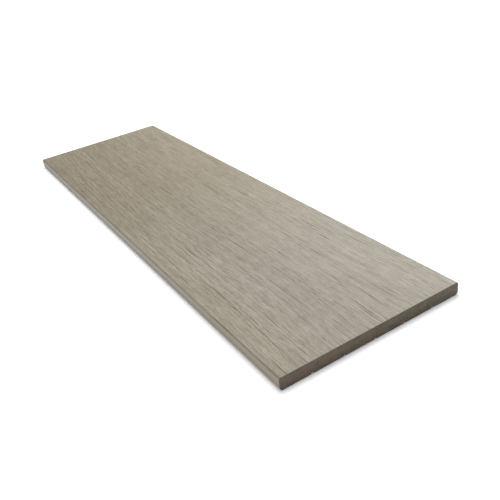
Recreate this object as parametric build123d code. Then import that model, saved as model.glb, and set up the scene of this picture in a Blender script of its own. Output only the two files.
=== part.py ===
from build123d import *
import os

# A composite trim board: one length of moulded stock, lying on its back.
# Millimetres. +X runs along the board, +Y across it, and +Z up out of its show face.
# The origin is at the middle of the back, on the surface that the board lies on.

# Overall size
board_length = 615.0
board_width = 180.0
board_thickness = 12.0

# Long edges are eased all the way along. The ends are square saw cuts with no easing.
show_edge_radius = 2.2
back_edge_radius = 3.0

# Relief grooves along the whole back, spread evenly about its middle
groove_count = 5
groove_pitch = 30.5
groove_width = 2.5
groove_depth = 1.4


def eased_outline():
    """The section before its grooves are cut: local x goes across the board, local y up."""
    blank = Rectangle(board_width, board_thickness, align=(Align.CENTER, Align.MIN))
    show_corners = blank.vertices().group_by(Axis.Y)[-1]
    outline = fillet(show_corners, show_edge_radius)
    back_corners = outline.vertices().group_by(Axis.Y)[0]
    return fillet(back_corners, back_edge_radius)


def groove_cuts():
    """The round-bottomed grooves, as ellipses centred on the line of the back."""
    groove = Ellipse(groove_width / 2, groove_depth)
    return [place * groove for place in GridLocations(groove_pitch, 0, groove_count, 1)]


def trim_board():
    """The grooved section, run the length of the board, half of it each side of the origin."""
    section = eased_outline() - groove_cuts()
    return extrude(Plane.YZ * section, amount=board_length / 2, both=True)


os.makedirs("parts", exist_ok=True)
export_step(trim_board(), "parts/trim_board.step")
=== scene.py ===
import math

import bpy
import numpy as np
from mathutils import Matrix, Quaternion, Vector


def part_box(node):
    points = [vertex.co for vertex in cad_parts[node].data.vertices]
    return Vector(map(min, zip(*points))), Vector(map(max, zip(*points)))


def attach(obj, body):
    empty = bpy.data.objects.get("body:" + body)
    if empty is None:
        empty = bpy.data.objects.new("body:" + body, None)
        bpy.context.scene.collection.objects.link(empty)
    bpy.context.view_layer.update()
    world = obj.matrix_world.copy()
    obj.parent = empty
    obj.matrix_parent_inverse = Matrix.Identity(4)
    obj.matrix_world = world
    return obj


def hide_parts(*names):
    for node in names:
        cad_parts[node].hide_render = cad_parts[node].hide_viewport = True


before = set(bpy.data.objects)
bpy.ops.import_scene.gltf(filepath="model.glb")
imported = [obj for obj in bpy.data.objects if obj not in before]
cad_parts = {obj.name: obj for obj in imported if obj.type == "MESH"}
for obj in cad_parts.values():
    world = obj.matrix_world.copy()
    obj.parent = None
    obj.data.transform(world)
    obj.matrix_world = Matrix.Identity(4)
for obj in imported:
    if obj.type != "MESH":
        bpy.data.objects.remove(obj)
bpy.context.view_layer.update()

# A composite trim board, lying on its back.
# Metres: +X along the board towards the camera, +Y across it, +Z out of its show face.
# A gradual change is written as (where it starts, where it ends, value before, value after).
MM = 0.001

# The section. Its outer size comes from the frame, and the origin is at the middle of its back.
high_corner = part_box("trim_board")[1]
half_length = high_corner.x
half_width = high_corner.y
thickness = high_corner.z
show_edge_radius = 2.2 * MM
back_edge_radius = 3.0 * MM
groove_count = 5
groove_pitch = 30.5 * MM
groove_width = 2.5 * MM
groove_depth = 1.4 * MM

# The mesh: points across the show face are close, because the grain is narrow and long
station_count = 141
show_columns = 521
show_edge_steps = 6
back_edge_steps = 5
side_steps = 3
groove_steps = 6

# The flat layout of the mesh for baking, in shares of a square: how far up it the unrolled section goes,
# how much more room the show face gets than the rest, and the place and size of the two ends above it
roll_top = 0.93
show_room = 2.0
end_left = (0.02, 0.52)
end_low = 0.945
end_size = (0.46, 0.045)

# The painted shade along each rounded edge of the show face, a dark line where the edge misses the sheen of
# the flats: where on the curve it lies, and how far it spreads
arris_angle = math.radians(38)
arris_spread = math.radians(20)

# Fixed seeds of the random draws
swing_seeds = (7, 8)
band_seed = 9
line_seed = 10
pore_seed = 11
ridge_seeds = (12, 13)
bold_seed = 16

# How the grain runs: swings aside, each as (how far, cell along the board, cell across it),
# and a bend towards +Y near the -X end
grain_swings = ((2.6 * MM, 190 * MM, 60 * MM), (0.15 * MM, 55 * MM, 22 * MM))
bend_aside = 9.0 * MM
bend_start = -140 * MM
bend_run = 168 * MM

# Grain pressed into the show face: long lines, short pores and bold marks. Sizes are (least, most).
line_count = 130
line_half_length = (25.0 * MM, 75.0 * MM)
line_half_width = (0.34 * MM, 0.45 * MM)
line_depth = (0.06 * MM, 0.16 * MM)
pore_count = 1000
pore_half_length = (3.5 * MM, 14.0 * MM)
pore_half_width = (0.36 * MM, 0.55 * MM)
pore_depth = (0.05 * MM, 0.22 * MM)
bold_count = 38
bold_half_length = (9.0 * MM, 30.0 * MM)
bold_half_width = (0.65 * MM, 0.80 * MM)
bold_depth = (0.24 * MM, 0.46 * MM)

# How many random places are tried for each one that is kept
tries_each = 8

# How thickly they lie along and across the board, as shares, with the pores also in bands
line_share_across = (-10 * MM, -50 * MM, 0.15, 1.0)
pore_share_along = (50 * MM, 250 * MM, 0.85, 0.35)
pore_share_across = (10 * MM, -35 * MM, 0.75, 1.0)
pore_band_cell = (110 * MM, 7 * MM)
pore_band_share = 0.25
bold_share_along = (-80 * MM, 220 * MM, 0.10, 1.0)
bold_share_across = (10 * MM, -40 * MM, 0.45, 1.0)

# Their shape: the width at the tips as a share, how bluntly they end, and how steep their sides are
tip_width = 0.5
tip_power = 0.7
side_power = 1.5

# A mark this deep has the whole of its darkening, which is partly the grain's own colour and partly painted
# shade in the hollow
dark_depth = 0.38 * MM

# Grain ridges run side by side, each row as (spacing, height), and drift aside by a share of the spacing
ridge_rows = ((5.4 * MM, 0.055 * MM), (3.1 * MM, 0.030 * MM))
ridge_height = sum(height for spacing, height in ridge_rows)
ridge_drift = 0.55
drift_length = 200 * MM
drift_spacings = 3
ridge_share_across = (-15 * MM, -55 * MM, 0.45, 1.0)

# The relief fades out over this width beside the rounded edges
relief_margin = 1.5 * MM

# Fine grain in the skin's colour: layers of dashes that are lighter or darker than the skin.
# Each layer is (cell along the grain, cell across it, darkest, lightest, how much of it reaches the +X end).
dash_layers = (
    (3.5 * MM, 0.65 * MM, -0.27, 0.24, 0.80),
    (9.0 * MM, 0.65 * MM, -0.28, 0.24, 0.85),
    (24.0 * MM, 0.60 * MM, -0.32, 0.28, 1.20),
    (80.0 * MM, 0.70 * MM, -0.28, 0.24, 0.85),
    (45.0 * MM, 4.50 * MM, -0.16, 0.12, 0.20),
)

# A dash fades from its middle to its rim, at these distances in cells
dash_rim = 0.55
dash_middle = 0.1

# Where the share that reaches the +X end comes in, and how strong the dashes are across the grain
dash_change = (-200 * MM, 0.0)
dash_strength = (-50 * MM, -20 * MM, 1.02, 0.88)
dash_strength_added = (20 * MM, 45 * MM, 0.0, 0.16)

# Dashes in rows this far apart slip past each other, in cells, so that their ends don't line up
row_spacing = 3.0 * MM
row_slip = 2.5

# Colours, as 8-bit sRGB, and where along or across the board one goes over into the next
# The skin goes over from skin_far to skin_near partly by its own tone and partly by painted light, paler
# towards the +X end
skin_far = (157, 148, 130)
skin_near = (174, 167, 155)
skin_near_edge = (175, 168, 153)
skin_change_along = (-100 * MM, 240 * MM)
skin_change_across = (-30 * MM, -75 * MM)
plain_far = (171, 166, 158)
plain_near = (161, 152, 139)
plain_change = (-50 * MM, half_length)
core_brown = (124, 110, 97)
core_grey = (114, 109, 95)

# How much of a shade reaches red, green and blue: marks darker than the skin are also a little browner
shade_tint = (0.96, 1.0, 1.11)

# Shade of the show face: a level, a slope of painted light for each metre across the grain that makes it
# paler towards +Y, and steps of tone across it
show_level = 0.99
painted_light_slope = 1.3
show_steps = (
    (-42 * MM, -26 * MM, 0.0, -0.055),
    (-4 * MM, 5 * MM, 0.0, 0.055),
    (42 * MM, 57 * MM, 0.0, 0.035),
)

# Cells of the skin's streaks and of its slow change of tone, and how strongly each mark shades the skin
streak_cell = (130 * MM, 3.2 * MM, 3.2 * MM)
tone_cell = (200 * MM, 45 * MM, 45 * MM)
streak_strength = (-150 * MM, 150 * MM, 0.28, 0.06)
tone_strength = 0.06
# Ridges are lighter on their crests and darker in their troughs, and pores darker by their depth: partly the
# grain's own colour, partly painted shade in the hollows
ridge_strength = (50 * MM, 250 * MM, 0.075, 0.035)
pore_strength = -0.44
# The rounded edges of the show face get a dark line of painted shade, where they miss the sheen of the flats
arris_painted_shade = -0.46

# The smooth sides and back: painted shade by height, darker low down near the floor, and fine lines drawn
# along them as they were moulded
side_painted_shade = (4.5 * MM, 8.5 * MM, 0.83, 1.06)
side_streak_strength = 0.10
drawn_cell = (30 * MM, 0.8 * MM, 0.8 * MM)
drawn_strength = 0.22

# The sawn ends: painted shade by height, darker towards the bottom near the floor, lighter towards the +Y
# edge, specks, clouds, saw marks, and patches of grey in the brown, which go over from brown to grey between
# the two levels, with more grey for each metre towards +Y
painted_end_shade = (0.0, 9 * MM, 0.80, 1.06)
end_paler_across = (50 * MM, half_width, 0.0, 0.18)
speck_cell = (1.6 * MM, 1.6 * MM, 1.1 * MM)
speck_strength = 0.70
cloud_cell = (7 * MM, 7 * MM, 3 * MM)
cloud_strength = 0.60
saw_cell = (5 * MM, 0.9 * MM, 14 * MM)
saw_strength = 0.30
patch_cell = (9 * MM, 9 * MM, 5 * MM)
patch_levels = (-0.15, 0.15)
grey_slope = 1.5

# Finish of the skin and of the sawn ends
skin_roughness = 0.72
skin_gloss = 0.25
skin_bump = 0.35
core_roughness = 0.85
core_gloss = 0.2
core_bump = 0.4
bump_distance = 0.2 * MM

# The floor: it starts to glow white at the first distance from the board, and is white at the second
floor_side = 12.0
floor_gap = 0.1 * MM
floor_albedo = 0.8
floor_lift = (0.435, 0.450, 0.466)
floor_glow = (15 * MM, 250 * MM)

# Light. A lamp is (place, what it faces, its two sides, power in watts).
sky_strength = 0.38
key_lamp = (Vector((-0.17, 0.26, 1.3)), Vector((0.0, 0.0, 0.0)), (0.88, 1.20), 12.15)
fill_lamp = (Vector((0.45, -1.4, 0.45)), Vector((0.1, 0.0, 0.0)), (1.2, 0.26), 4.9)
white = [1.0, 1.0, 1.0, 1.0]

# Camera, as it stood for the photograph. Lens and sensor are in millimetres.
focal_length = 45.36
sensor_width = 36.0
camera_place = Vector((607.0, -253.8, 313.35)) * MM
camera_target = Vector((137.9, -7.8, 12.0)) * MM
camera_roll = math.radians(-8.74)
nearest_seen = 0.01
furthest_seen = 50.0


def linear(colour):
    """An 8-bit sRGB colour as the linear RGBA that shaders take."""
    shares = [c / 255 for c in colour]
    return [s / 12.92 if s <= 0.04045 else ((s + 0.055) / 1.055) ** 2.4 for s in shares] + [1.0]


def eased(values, start, end, before=0.0, after=1.0):
    """An easy curve from one value, where the given values are start, to the other, where they are end."""
    t = np.clip((values - start) / (end - start), 0, 1)
    return before + (after - before) * t * t * (3 - 2 * t)


def lattice_noise(u, v, seed):
    """Smooth noise from -1 to 1 with one lattice cell for each unit of u and v."""
    side = 512
    table = np.random.default_rng(seed).uniform(-1, 1, (side, side))
    cell_u, cell_v = np.floor(u).astype(int), np.floor(v).astype(int)
    part_u, part_v = eased(u - cell_u, 0, 1), eased(v - cell_v, 0, 1)
    near = table[cell_u % side, cell_v % side] * (1 - part_u)
    near = near + table[(cell_u + 1) % side, cell_v % side] * part_u
    far = table[cell_u % side, (cell_v + 1) % side] * (1 - part_u)
    far = far + table[(cell_u + 1) % side, (cell_v + 1) % side] * part_u
    return near * (1 - part_v) + far * part_v


def grain_across(x, y):
    """Where a point lies across the grain: y, bent so that lines of equal value wander as the grain does."""
    across = y
    for seed, (aside, along, wide) in zip(swing_seeds, grain_swings):
        across = across + aside * lattice_noise(x / along, y / wide, seed)
    return across - bend_aside * np.clip((bend_start - x) / bend_run, 0, None) ** 2


def line_density(x, y):
    """How thickly the long grain lines lie: mostly along the -Y side."""
    return eased(y, *line_share_across)


def pore_density(x, y):
    """How thickly the pores lie: in bands, most along the -Y side and least towards the +X end."""
    bands = lattice_noise(x / pore_band_cell[0], y / pore_band_cell[1], band_seed)
    bands = 1 - pore_band_share + pore_band_share * bands
    return eased(x, *pore_share_along) * eased(y, *pore_share_across) * bands


def bold_density(x, y):
    """How thickly the bold marks lie: mostly towards the +X end, and more of them along the -Y side."""
    return eased(x, *bold_share_along) * eased(y, *bold_share_across)


def carve(depth, across, stations, centre, half_size, deepest):
    """Cuts one tapered groove that follows the grain into the depth map, in place."""
    for row in np.flatnonzero(np.abs(stations - centre[0]) < half_size[0]):
        taper = 1 - ((stations[row] - centre[0]) / half_size[0]) ** 2
        reach = half_size[1] * (tip_width + (1 - tip_width) * taper)
        first, last = np.searchsorted(across[row], (centre[1] - reach, centre[1] + reach))
        aside = (across[row, first:last] - centre[1]) / reach
        cut = deepest * taper ** tip_power * (1 - aside ** 2) ** side_power
        depth[row, first:last] = np.maximum(depth[row, first:last], cut)


def scatter_grooves(depth, across, stations, columns, count, density, sizes, seed):
    """Carves that many grooves at random places, more of them where the density is high."""
    rng = np.random.default_rng(seed)
    tries = count * tries_each
    x = rng.uniform(stations[0], stations[-1], tries)
    y = rng.uniform(columns[0], columns[-1], tries)
    chosen = np.flatnonzero(rng.uniform(0, 1, tries) < density(x, y))[:count]
    half_lengths, half_widths, depths = (rng.uniform(least, most, tries) for least, most in sizes)
    for i in chosen:
        carve(depth, across, stations, (x[i], y[i]), (half_lengths[i], half_widths[i]), depths[i])


def right_side_points():
    """The +Y side of the section, from the show face down to the back, as section_outline gives it."""
    points = []
    for angle in np.linspace(0, math.pi / 2, show_edge_steps + 1)[1:]:
        y = half_width - show_edge_radius * (1 - math.sin(angle))
        z = thickness - show_edge_radius * (1 - math.cos(angle))
        arris = math.exp(-(((angle - arris_angle) / arris_spread) ** 2))
        points.append((y, z, math.sin(angle) ** 2, arris))
    for z in np.linspace(thickness - show_edge_radius, back_edge_radius, side_steps + 1)[1:]:
        points.append((half_width, z, 1.0, 0.0))
    for angle in np.linspace(0, math.pi / 2, back_edge_steps + 1)[1:]:
        y = half_width - back_edge_radius * (1 - math.cos(angle))
        z = back_edge_radius * (1 - math.sin(angle))
        points.append((y, z, 1.0, 0.0))
    return points


def section_outline():
    """The section's points as rows of (y, z, plain, arris), from -Y to +Y over the show face and back under.

    plain is 0 on the embossed show face and 1 on the smooth sides and back.
    arris is the strength of the painted shade, a dark line along the rounded edges of the show face.
    """
    inner = half_width - show_edge_radius
    rows = [(y, thickness, 0.0, 0.0) for y in np.linspace(-inner, inner, show_columns)]
    right = right_side_points()
    rows += right
    middle = (groove_count - 1) / 2
    for number in reversed(range(groove_count)):
        centre = (number - middle) * groove_pitch
        for angle in np.linspace(0, math.pi, groove_steps + 1):
            y = centre + groove_width / 2 * math.cos(angle)
            rows.append((y, groove_depth * math.sin(angle), 1.0, 0.0))
    rows += [(-y, z, plain, arris) for y, z, plain, arris in reversed(right)]
    return np.array(rows)


def show_relief(stations, columns):
    """Maps of the show face: its place across the grain, its ridges and its pores, a row for each station."""
    x, y = np.meshgrid(stations, columns, indexing="ij")
    across = grain_across(x, y)
    pores = np.zeros_like(x)
    line_sizes = (line_half_length, line_half_width, line_depth)
    scatter_grooves(pores, across, stations, columns, line_count, line_density, line_sizes, line_seed)
    pore_sizes = (pore_half_length, pore_half_width, pore_depth)
    scatter_grooves(pores, across, stations, columns, pore_count, pore_density, pore_sizes, pore_seed)
    bold_sizes = (bold_half_length, bold_half_width, bold_depth)
    scatter_grooves(pores, across, stations, columns, bold_count, bold_density, bold_sizes, bold_seed)
    ridges = np.zeros_like(x)
    for seed, (spacing, height) in zip(ridge_seeds, ridge_rows):
        drift = lattice_noise(x / drift_length, y / (drift_spacings * spacing), seed)
        ridges += height / ridge_height * np.cos(2 * math.pi * (across / spacing + ridge_drift * drift))
    return across, ridges * eased(y, *ridge_share_across), pores


def board_points(outline, stations):
    """Every point's place, with the grain pressed in, and the marks on it that the materials read."""
    shape = (len(stations), len(outline))
    x = np.broadcast_to(stations[:, None], shape)
    y, z, plain, arris = (np.broadcast_to(column, shape).copy() for column in outline.T)
    show = outline[:, 1] == thickness
    columns = outline[show, 0]
    across, ridges, pores = show_relief(stations, columns)
    fade = eased(columns[-1] - np.abs(columns), 0.0, relief_margin)
    z[:, show] -= np.maximum(pores, ridge_height * (0.5 - 0.5 * ridges)) * fade
    marks = {"grain_across": y.copy(), "ridge": np.zeros(shape), "pore": np.zeros(shape)}
    marks.update({"plain": plain, "arris": arris})
    marks["grain_across"][:, show] = across
    marks["ridge"][:, show] = ridges * fade
    marks["pore"][:, show] = pores / dark_depth * fade
    return np.stack([x, y, z], axis=2), marks


def board_faces(points):
    """Rings of quads from one station to the next, with that many points in a ring, and then the two ends."""
    ring = np.arange(points)
    after = np.roll(ring, -1)
    first = np.arange(station_count - 1)[:, None] * points
    quads = np.stack([first + ring, first + points + ring, first + points + after, first + after], axis=2)
    last_ring = (station_count - 1) * points + ring
    return quads.reshape(-1, 4).tolist() + [ring.tolist(), last_ring[::-1].tolist()]


def bake_map(mesh, outline, stations):
    """Lays the faces out flat: the section unrolled along the board, and the two ends above it."""
    ahead = np.roll(outline, -1, axis=0)
    steps = np.hypot(ahead[:, 0] - outline[:, 0], ahead[:, 1] - outline[:, 1])
    steps[(outline[:, 1] == thickness) & (ahead[:, 1] == thickness)] *= show_room
    rolled = np.concatenate([[0.0], np.cumsum(steps)])
    u = (stations + half_length) / (2 * half_length)
    v = roll_top * rolled / rolled[-1]
    quads = np.zeros((len(stations) - 1, len(outline), 4, 2))
    quads[:, :, (0, 3), 0] = u[:-1, None, None]
    quads[:, :, (1, 2), 0] = u[1:, None, None]
    quads[:, :, (0, 1), 1] = v[:-1, None]
    quads[:, :, (2, 3), 1] = v[1:, None]
    corners = [quads.reshape(-1, 2)]
    for left, ring in zip(end_left, (outline, outline[::-1])):
        end_u = left + end_size[0] * (0.5 + ring[:, 0] / (2 * half_width))
        end_v = end_low + end_size[1] * ring[:, 1] / thickness
        corners.append(np.stack([end_u, end_v], axis=1))
    layer = mesh.uv_layers.new(name="OFBake")
    layer.data.foreach_set("uv", np.concatenate(corners).ravel().astype(np.float32))


def board_mesh():
    """The whole board as one closed mesh: a smooth skin, and two flat ends of the second material."""
    outline = section_outline()
    stations = np.linspace(-half_length, half_length, station_count)
    places, marks = board_points(outline, stations)
    faces = board_faces(len(outline))
    mesh = bpy.data.meshes.new("trim_board_skin")
    mesh.from_pydata(places.reshape(-1, 3), [], faces)
    for name, values in marks.items():
        attribute = mesh.attributes.new(name, "FLOAT", "POINT")
        attribute.data.foreach_set("value", values.ravel().astype(np.float32))
    bake_map(mesh, outline, stations)
    mesh.shade_smooth()
    for end in mesh.polygons[len(faces) - 2:]:
        end.material_index = 1
        end.use_smooth = False
        for loop in end.loop_indices:
            mesh.edges[mesh.loops[loop].edge_index].use_edge_sharp = True
    mesh.validate()
    mesh.update()
    return mesh


class Tree:
    """A short way to add and link shader nodes in one material or world."""

    def __init__(self, owner):
        owner.use_nodes = True
        self.nodes = owner.node_tree.nodes
        self.links = owner.node_tree.links
        self.nodes.clear()

    def add(self, kind, inputs=None, **settings):
        """A new node, with its inputs set, or linked where a socket is given."""
        node = self.nodes.new(kind)
        for name, value in settings.items():
            setattr(node, name, value)
        for name, value in (inputs or {}).items():
            if isinstance(value, bpy.types.NodeSocket):
                self.links.new(value, node.inputs[name])
            else:
                node.inputs[name].default_value = value
        return node

    def math(self, operation, first, second, third=0.0):
        inputs = {0: first, 1: second, 2: third}
        return self.add("ShaderNodeMath", inputs, operation=operation).outputs[0]

    def vector(self, operation, *values, output="Vector"):
        inputs = dict(enumerate(values))
        return self.add("ShaderNodeVectorMath", inputs, operation=operation).outputs[output]

    def attribute(self, name):
        return self.add("ShaderNodeAttribute", attribute_name=name).outputs["Fac"]

    def object_place(self):
        """The place on the object, in metres."""
        return self.add("ShaderNodeTexCoord").outputs["Object"]

    def axes(self, place):
        """The place's X, Y and Z, by name."""
        return self.add("ShaderNodeSeparateXYZ", {0: place}).outputs

    def ramp(self, value, start, end, before=0.0, after=1.0):
        """An easy curve, as eased gives it."""
        inputs = {0: value, 1: start, 2: end, 3: before, 4: after}
        return self.add("ShaderNodeMapRange", inputs, interpolation_type="SMOOTHSTEP").outputs[0]

    def added(self, total, value, strength=1.0):
        """The total, and the value times a strength."""
        return self.math("MULTIPLY_ADD", value, strength, total)

    def in_cells(self, place, cell):
        """The place, counted in cells of the given size in metres along each axis."""
        return self.vector("MULTIPLY", place, [1 / c for c in cell])

    def noise(self, place, cell, detail):
        """Noise about 0, from cells of the given size in metres along each axis."""
        inputs = {"Vector": self.in_cells(place, cell), "Scale": 1.0, "Detail": detail}
        return self.math("SUBTRACT", self.add("ShaderNodeTexNoise", inputs).outputs["Fac"], 0.5)

    def dashes(self, place, cell, darkest, lightest):
        """One tapered dash in each cell across the first two axes, of a strength between the two given."""
        inputs = {"Vector": self.in_cells(place, cell), "Scale": 1.0}
        cells = self.add("ShaderNodeTexVoronoi", inputs, voronoi_dimensions="2D")
        pick = self.add("ShaderNodeSeparateColor", {0: cells.outputs["Color"]}).outputs[0]
        strength = self.math("MULTIPLY_ADD", pick, lightest - darkest, darkest)
        return self.math("MULTIPLY", self.ramp(cells.outputs["Distance"], dash_rim, dash_middle), strength)

    def mix(self, share, first, second):
        inputs = {0: share, 6: first, 7: second}
        return self.add("ShaderNodeMix", inputs, data_type="RGBA").outputs[2]

    def shaded(self, colour, shade):
        """The colour times a shade about 1, tinted as this board's marks are."""
        change = self.math("SUBTRACT", shade, 1.0)
        tinted = self.vector("MULTIPLY_ADD", change, shade_tint, (1.0, 1.0, 1.0))
        return self.vector("MULTIPLY", colour, tinted)

    def diffuse(self, colour):
        return self.add("ShaderNodeBsdfDiffuse", {"Color": colour}).outputs[0]

    def both(self, first, second):
        """The light of two shaders together."""
        return self.add("ShaderNodeAddShader", {0: first, 1: second}).outputs[0]

    def surface(self, colour, roughness, gloss, height, bump_strength):
        """Ends a material: a matte surface of that colour, with bumps of that height."""
        bump_inputs = {"Strength": bump_strength, "Distance": bump_distance, "Height": height}
        inputs = {"Base Color": colour, "Roughness": roughness, "Specular IOR Level": gloss}
        inputs["Normal"] = self.add("ShaderNodeBump", bump_inputs).outputs[0]
        self.finish(self.add("ShaderNodeBsdfPrincipled", inputs).outputs[0])

    def finish(self, shader, kind="ShaderNodeOutputMaterial"):
        self.add(kind, {"Surface": shader})


def fine_grain(tree, x, across):
    """The sum of all layers of dashes, a little fainter along the middle of the board."""
    row = tree.math("MULTIPLY", across, 1 / row_spacing)
    slip = tree.add("ShaderNodeTexNoise", {"W": row, "Scale": 1.0}, noise_dimensions="1D").outputs["Fac"]
    total = 0.0
    for along, wide, darkest, lightest, near_share in dash_layers:
        slipped = tree.added(x, slip, row_slip * along)
        laid = tree.add("ShaderNodeCombineXYZ", {0: slipped, 1: across}).outputs[0]
        layer = tree.dashes(laid, (along, wide, 1.0), darkest, lightest)
        total = tree.added(total, layer, tree.ramp(x, *dash_change, 1.0, near_share))
    strength = tree.added(tree.ramp(across, *dash_strength), tree.ramp(across, *dash_strength_added))
    return tree.math("MULTIPLY", total, strength)


def show_colour(tree, x, across, streaks, tone, fine):
    """The embossed show face: darker along a band near its middle, and paler along its +Y side, by a band of
    tone and by painted light.
    """
    near = tree.mix(tree.ramp(across, *skin_change_across), linear(skin_near), linear(skin_near_edge))
    base = tree.mix(tree.ramp(x, *skin_change_along), linear(skin_far), near)
    # Painted light: the shade grows towards +Y by the slope, for each metre across the grain
    shade = tree.math("MULTIPLY_ADD", across, painted_light_slope, show_level)
    for step in show_steps:
        shade = tree.added(shade, tree.ramp(across, *step))
    shade = tree.added(shade, streaks, tree.ramp(x, *streak_strength))
    shade = tree.added(shade, tone, tone_strength)
    # Ridge and pore darkening: partly the grain's own colour, partly painted shade in the hollows
    shade = tree.added(shade, tree.attribute("ridge"), tree.ramp(x, *ridge_strength))
    shade = tree.added(shade, tree.attribute("pore"), pore_strength)
    return tree.shaded(base, tree.added(shade, fine))


def smooth_colour(tree, place, streaks):
    """The smooth sides and back: darker low down by painted shade, with fine lines along them."""
    axes = tree.axes(place)
    base = tree.mix(tree.ramp(axes["X"], *plain_change), linear(plain_far), linear(plain_near))
    # Painted shade: darker low down, near the floor
    shade = tree.ramp(axes["Z"], *side_painted_shade)
    shade = tree.added(shade, streaks, side_streak_strength)
    shade = tree.added(shade, tree.noise(place, drawn_cell, detail=2.0), drawn_strength)
    return tree.shaded(base, shade)


def skin_material():
    """The moulded skin: streaky grey-brown, darker in the pores, partly by painted shade, and with painted
    shade along the rounded edges.
    """
    material = bpy.data.materials.new("moulded_skin")
    tree = Tree(material)
    place = tree.object_place()
    axes = tree.axes(place)
    across = tree.attribute("grain_across")
    grain = tree.add("ShaderNodeCombineXYZ", {0: axes["X"], 1: across, 2: axes["Z"]}).outputs[0]
    streaks = tree.noise(grain, streak_cell, detail=3.0)
    tone = tree.noise(grain, tone_cell, detail=2.0)
    fine = fine_grain(tree, axes["X"], across)
    embossed = show_colour(tree, axes["X"], across, streaks, tone, fine)
    skin = tree.mix(tree.attribute("plain"), embossed, smooth_colour(tree, place, streaks))
    # Painted shade: a dark line along the rounded edges of the show face
    colour = tree.shaded(skin, tree.added(1.0, tree.attribute("arris"), arris_painted_shade))
    tree.surface(colour, skin_roughness, skin_gloss, fine, skin_bump)
    return material


def core_material():
    """The sawn end: a dark, faintly speckled core with saw marks, and painted shade towards the bottom."""
    material = bpy.data.materials.new("sawn_core")
    tree = Tree(material)
    place = tree.object_place()
    axes = tree.axes(place)
    saw_marks = tree.noise(place, saw_cell, detail=2.0)
    # Painted shade: darker towards the bottom; and lighter towards the +Y edge
    shade = tree.added(tree.ramp(axes["Z"], *painted_end_shade), tree.ramp(axes["Y"], *end_paler_across))
    shade = tree.added(shade, tree.noise(place, speck_cell, detail=3.0), speck_strength)
    shade = tree.added(shade, tree.noise(place, cloud_cell, detail=2.0), cloud_strength)
    shade = tree.added(shade, saw_marks, saw_strength)
    greyer = tree.added(tree.noise(place, patch_cell, detail=1.0), axes["Y"], grey_slope)
    base = tree.mix(tree.ramp(greyer, *patch_levels), linear(core_brown), linear(core_grey))
    tree.surface(tree.shaded(base, shade), core_roughness, core_gloss, saw_marks, core_bump)
    return material


def make_board():
    """The dressed board, in place of its plain solid."""
    mesh = board_mesh()
    mesh.materials.append(skin_material())
    mesh.materials.append(core_material())
    board = bpy.data.objects.new("trim_board_skin", mesh)
    bpy.context.scene.collection.objects.link(board)
    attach(board, "root")
    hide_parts("trim_board")


def seen_rays(tree):
    """1 for rays that show the background: from the camera, and through gloss or glass."""
    rays = tree.add("ShaderNodeLightPath").outputs
    shown = tree.math("MAXIMUM", rays["Is Camera Ray"], rays["Is Glossy Ray"])
    return tree.math("MAXIMUM", shown, rays["Is Transmission Ray"])


def floor_material():
    """A white floor: it keeps the board's shadow beside the board, and shows plain white further off."""
    material = bpy.data.materials.new("white_floor")
    tree = Tree(material)
    outside = tree.vector("ABSOLUTE", tree.object_place())
    outside = tree.vector("SUBTRACT", outside, (half_length, half_width, 1.0))
    outside = tree.vector("MAXIMUM", outside, (0.0, 0.0, 0.0))
    distance = tree.vector("LENGTH", outside, output="Value")
    far_off = tree.ramp(distance, *floor_glow)
    glow = tree.add("ShaderNodeEmission", {"Color": white, "Strength": far_off}).outputs[0]
    plain = tree.diffuse([floor_albedo] * 3 + [1.0])
    bright = tree.both(tree.both(tree.diffuse(white), tree.diffuse([*floor_lift, 1.0])), glow)
    tree.finish(tree.add("ShaderNodeMixShader", {0: seen_rays(tree), 1: plain, 2: bright}).outputs[0])
    return material


def make_floor():
    """The floor that the board lies on."""
    mesh = bpy.data.meshes.new("floor")
    half = floor_side / 2
    corners = [(x, y, -floor_gap) for x, y in ((-half, -half), (half, -half), (half, half), (-half, half))]
    mesh.from_pydata(corners, [], [(0, 1, 2, 3)])
    mesh.materials.append(floor_material())
    floor = bpy.data.objects.new("floor", mesh)
    bpy.context.scene.collection.objects.link(floor)


def make_sky():
    """An even pale sky, white where it shows."""
    world = bpy.data.worlds.new("studio")
    bpy.context.scene.world = world
    tree = Tree(world)
    strength = tree.add("ShaderNodeMapRange", {0: seen_rays(tree), 3: sky_strength, 4: 1.0})
    background = tree.add("ShaderNodeBackground", {"Color": white, "Strength": strength.outputs[0]})
    tree.finish(background.outputs[0], "ShaderNodeOutputWorld")


def make_lamp(name, place, target, sides, power):
    """A large soft lamp that faces the board."""
    data = bpy.data.lights.new(name, "AREA")
    data.shape = "RECTANGLE"
    data.size, data.size_y = sides
    data.energy = power
    lamp = bpy.data.objects.new(name, data)
    lamp.location = place
    lamp.rotation_mode = "QUATERNION"
    lamp.rotation_quaternion = (target - place).to_track_quat("-Z", "Y")
    lamp.visible_camera = False
    bpy.context.scene.collection.objects.link(lamp)


def make_camera():
    """The photograph's camera, which was held a little askew."""
    data = bpy.data.cameras.new("camera")
    data.lens = focal_length
    data.sensor_width = sensor_width
    data.clip_start = nearest_seen
    data.clip_end = furthest_seen
    camera = bpy.data.objects.new("camera", data)
    camera.location = camera_place
    camera.rotation_mode = "QUATERNION"
    aim = (camera_target - camera_place).to_track_quat("-Z", "Y")
    camera.rotation_quaternion = aim @ Quaternion((0, 0, 1), camera_roll)
    bpy.context.scene.collection.objects.link(camera)
    bpy.context.scene.camera = camera


make_board()
make_floor()
make_sky()
make_lamp("key", *key_lamp)
make_lamp("fill", *fill_lamp)
make_camera()
bpy.context.scene.view_settings.view_transform = "Standard"
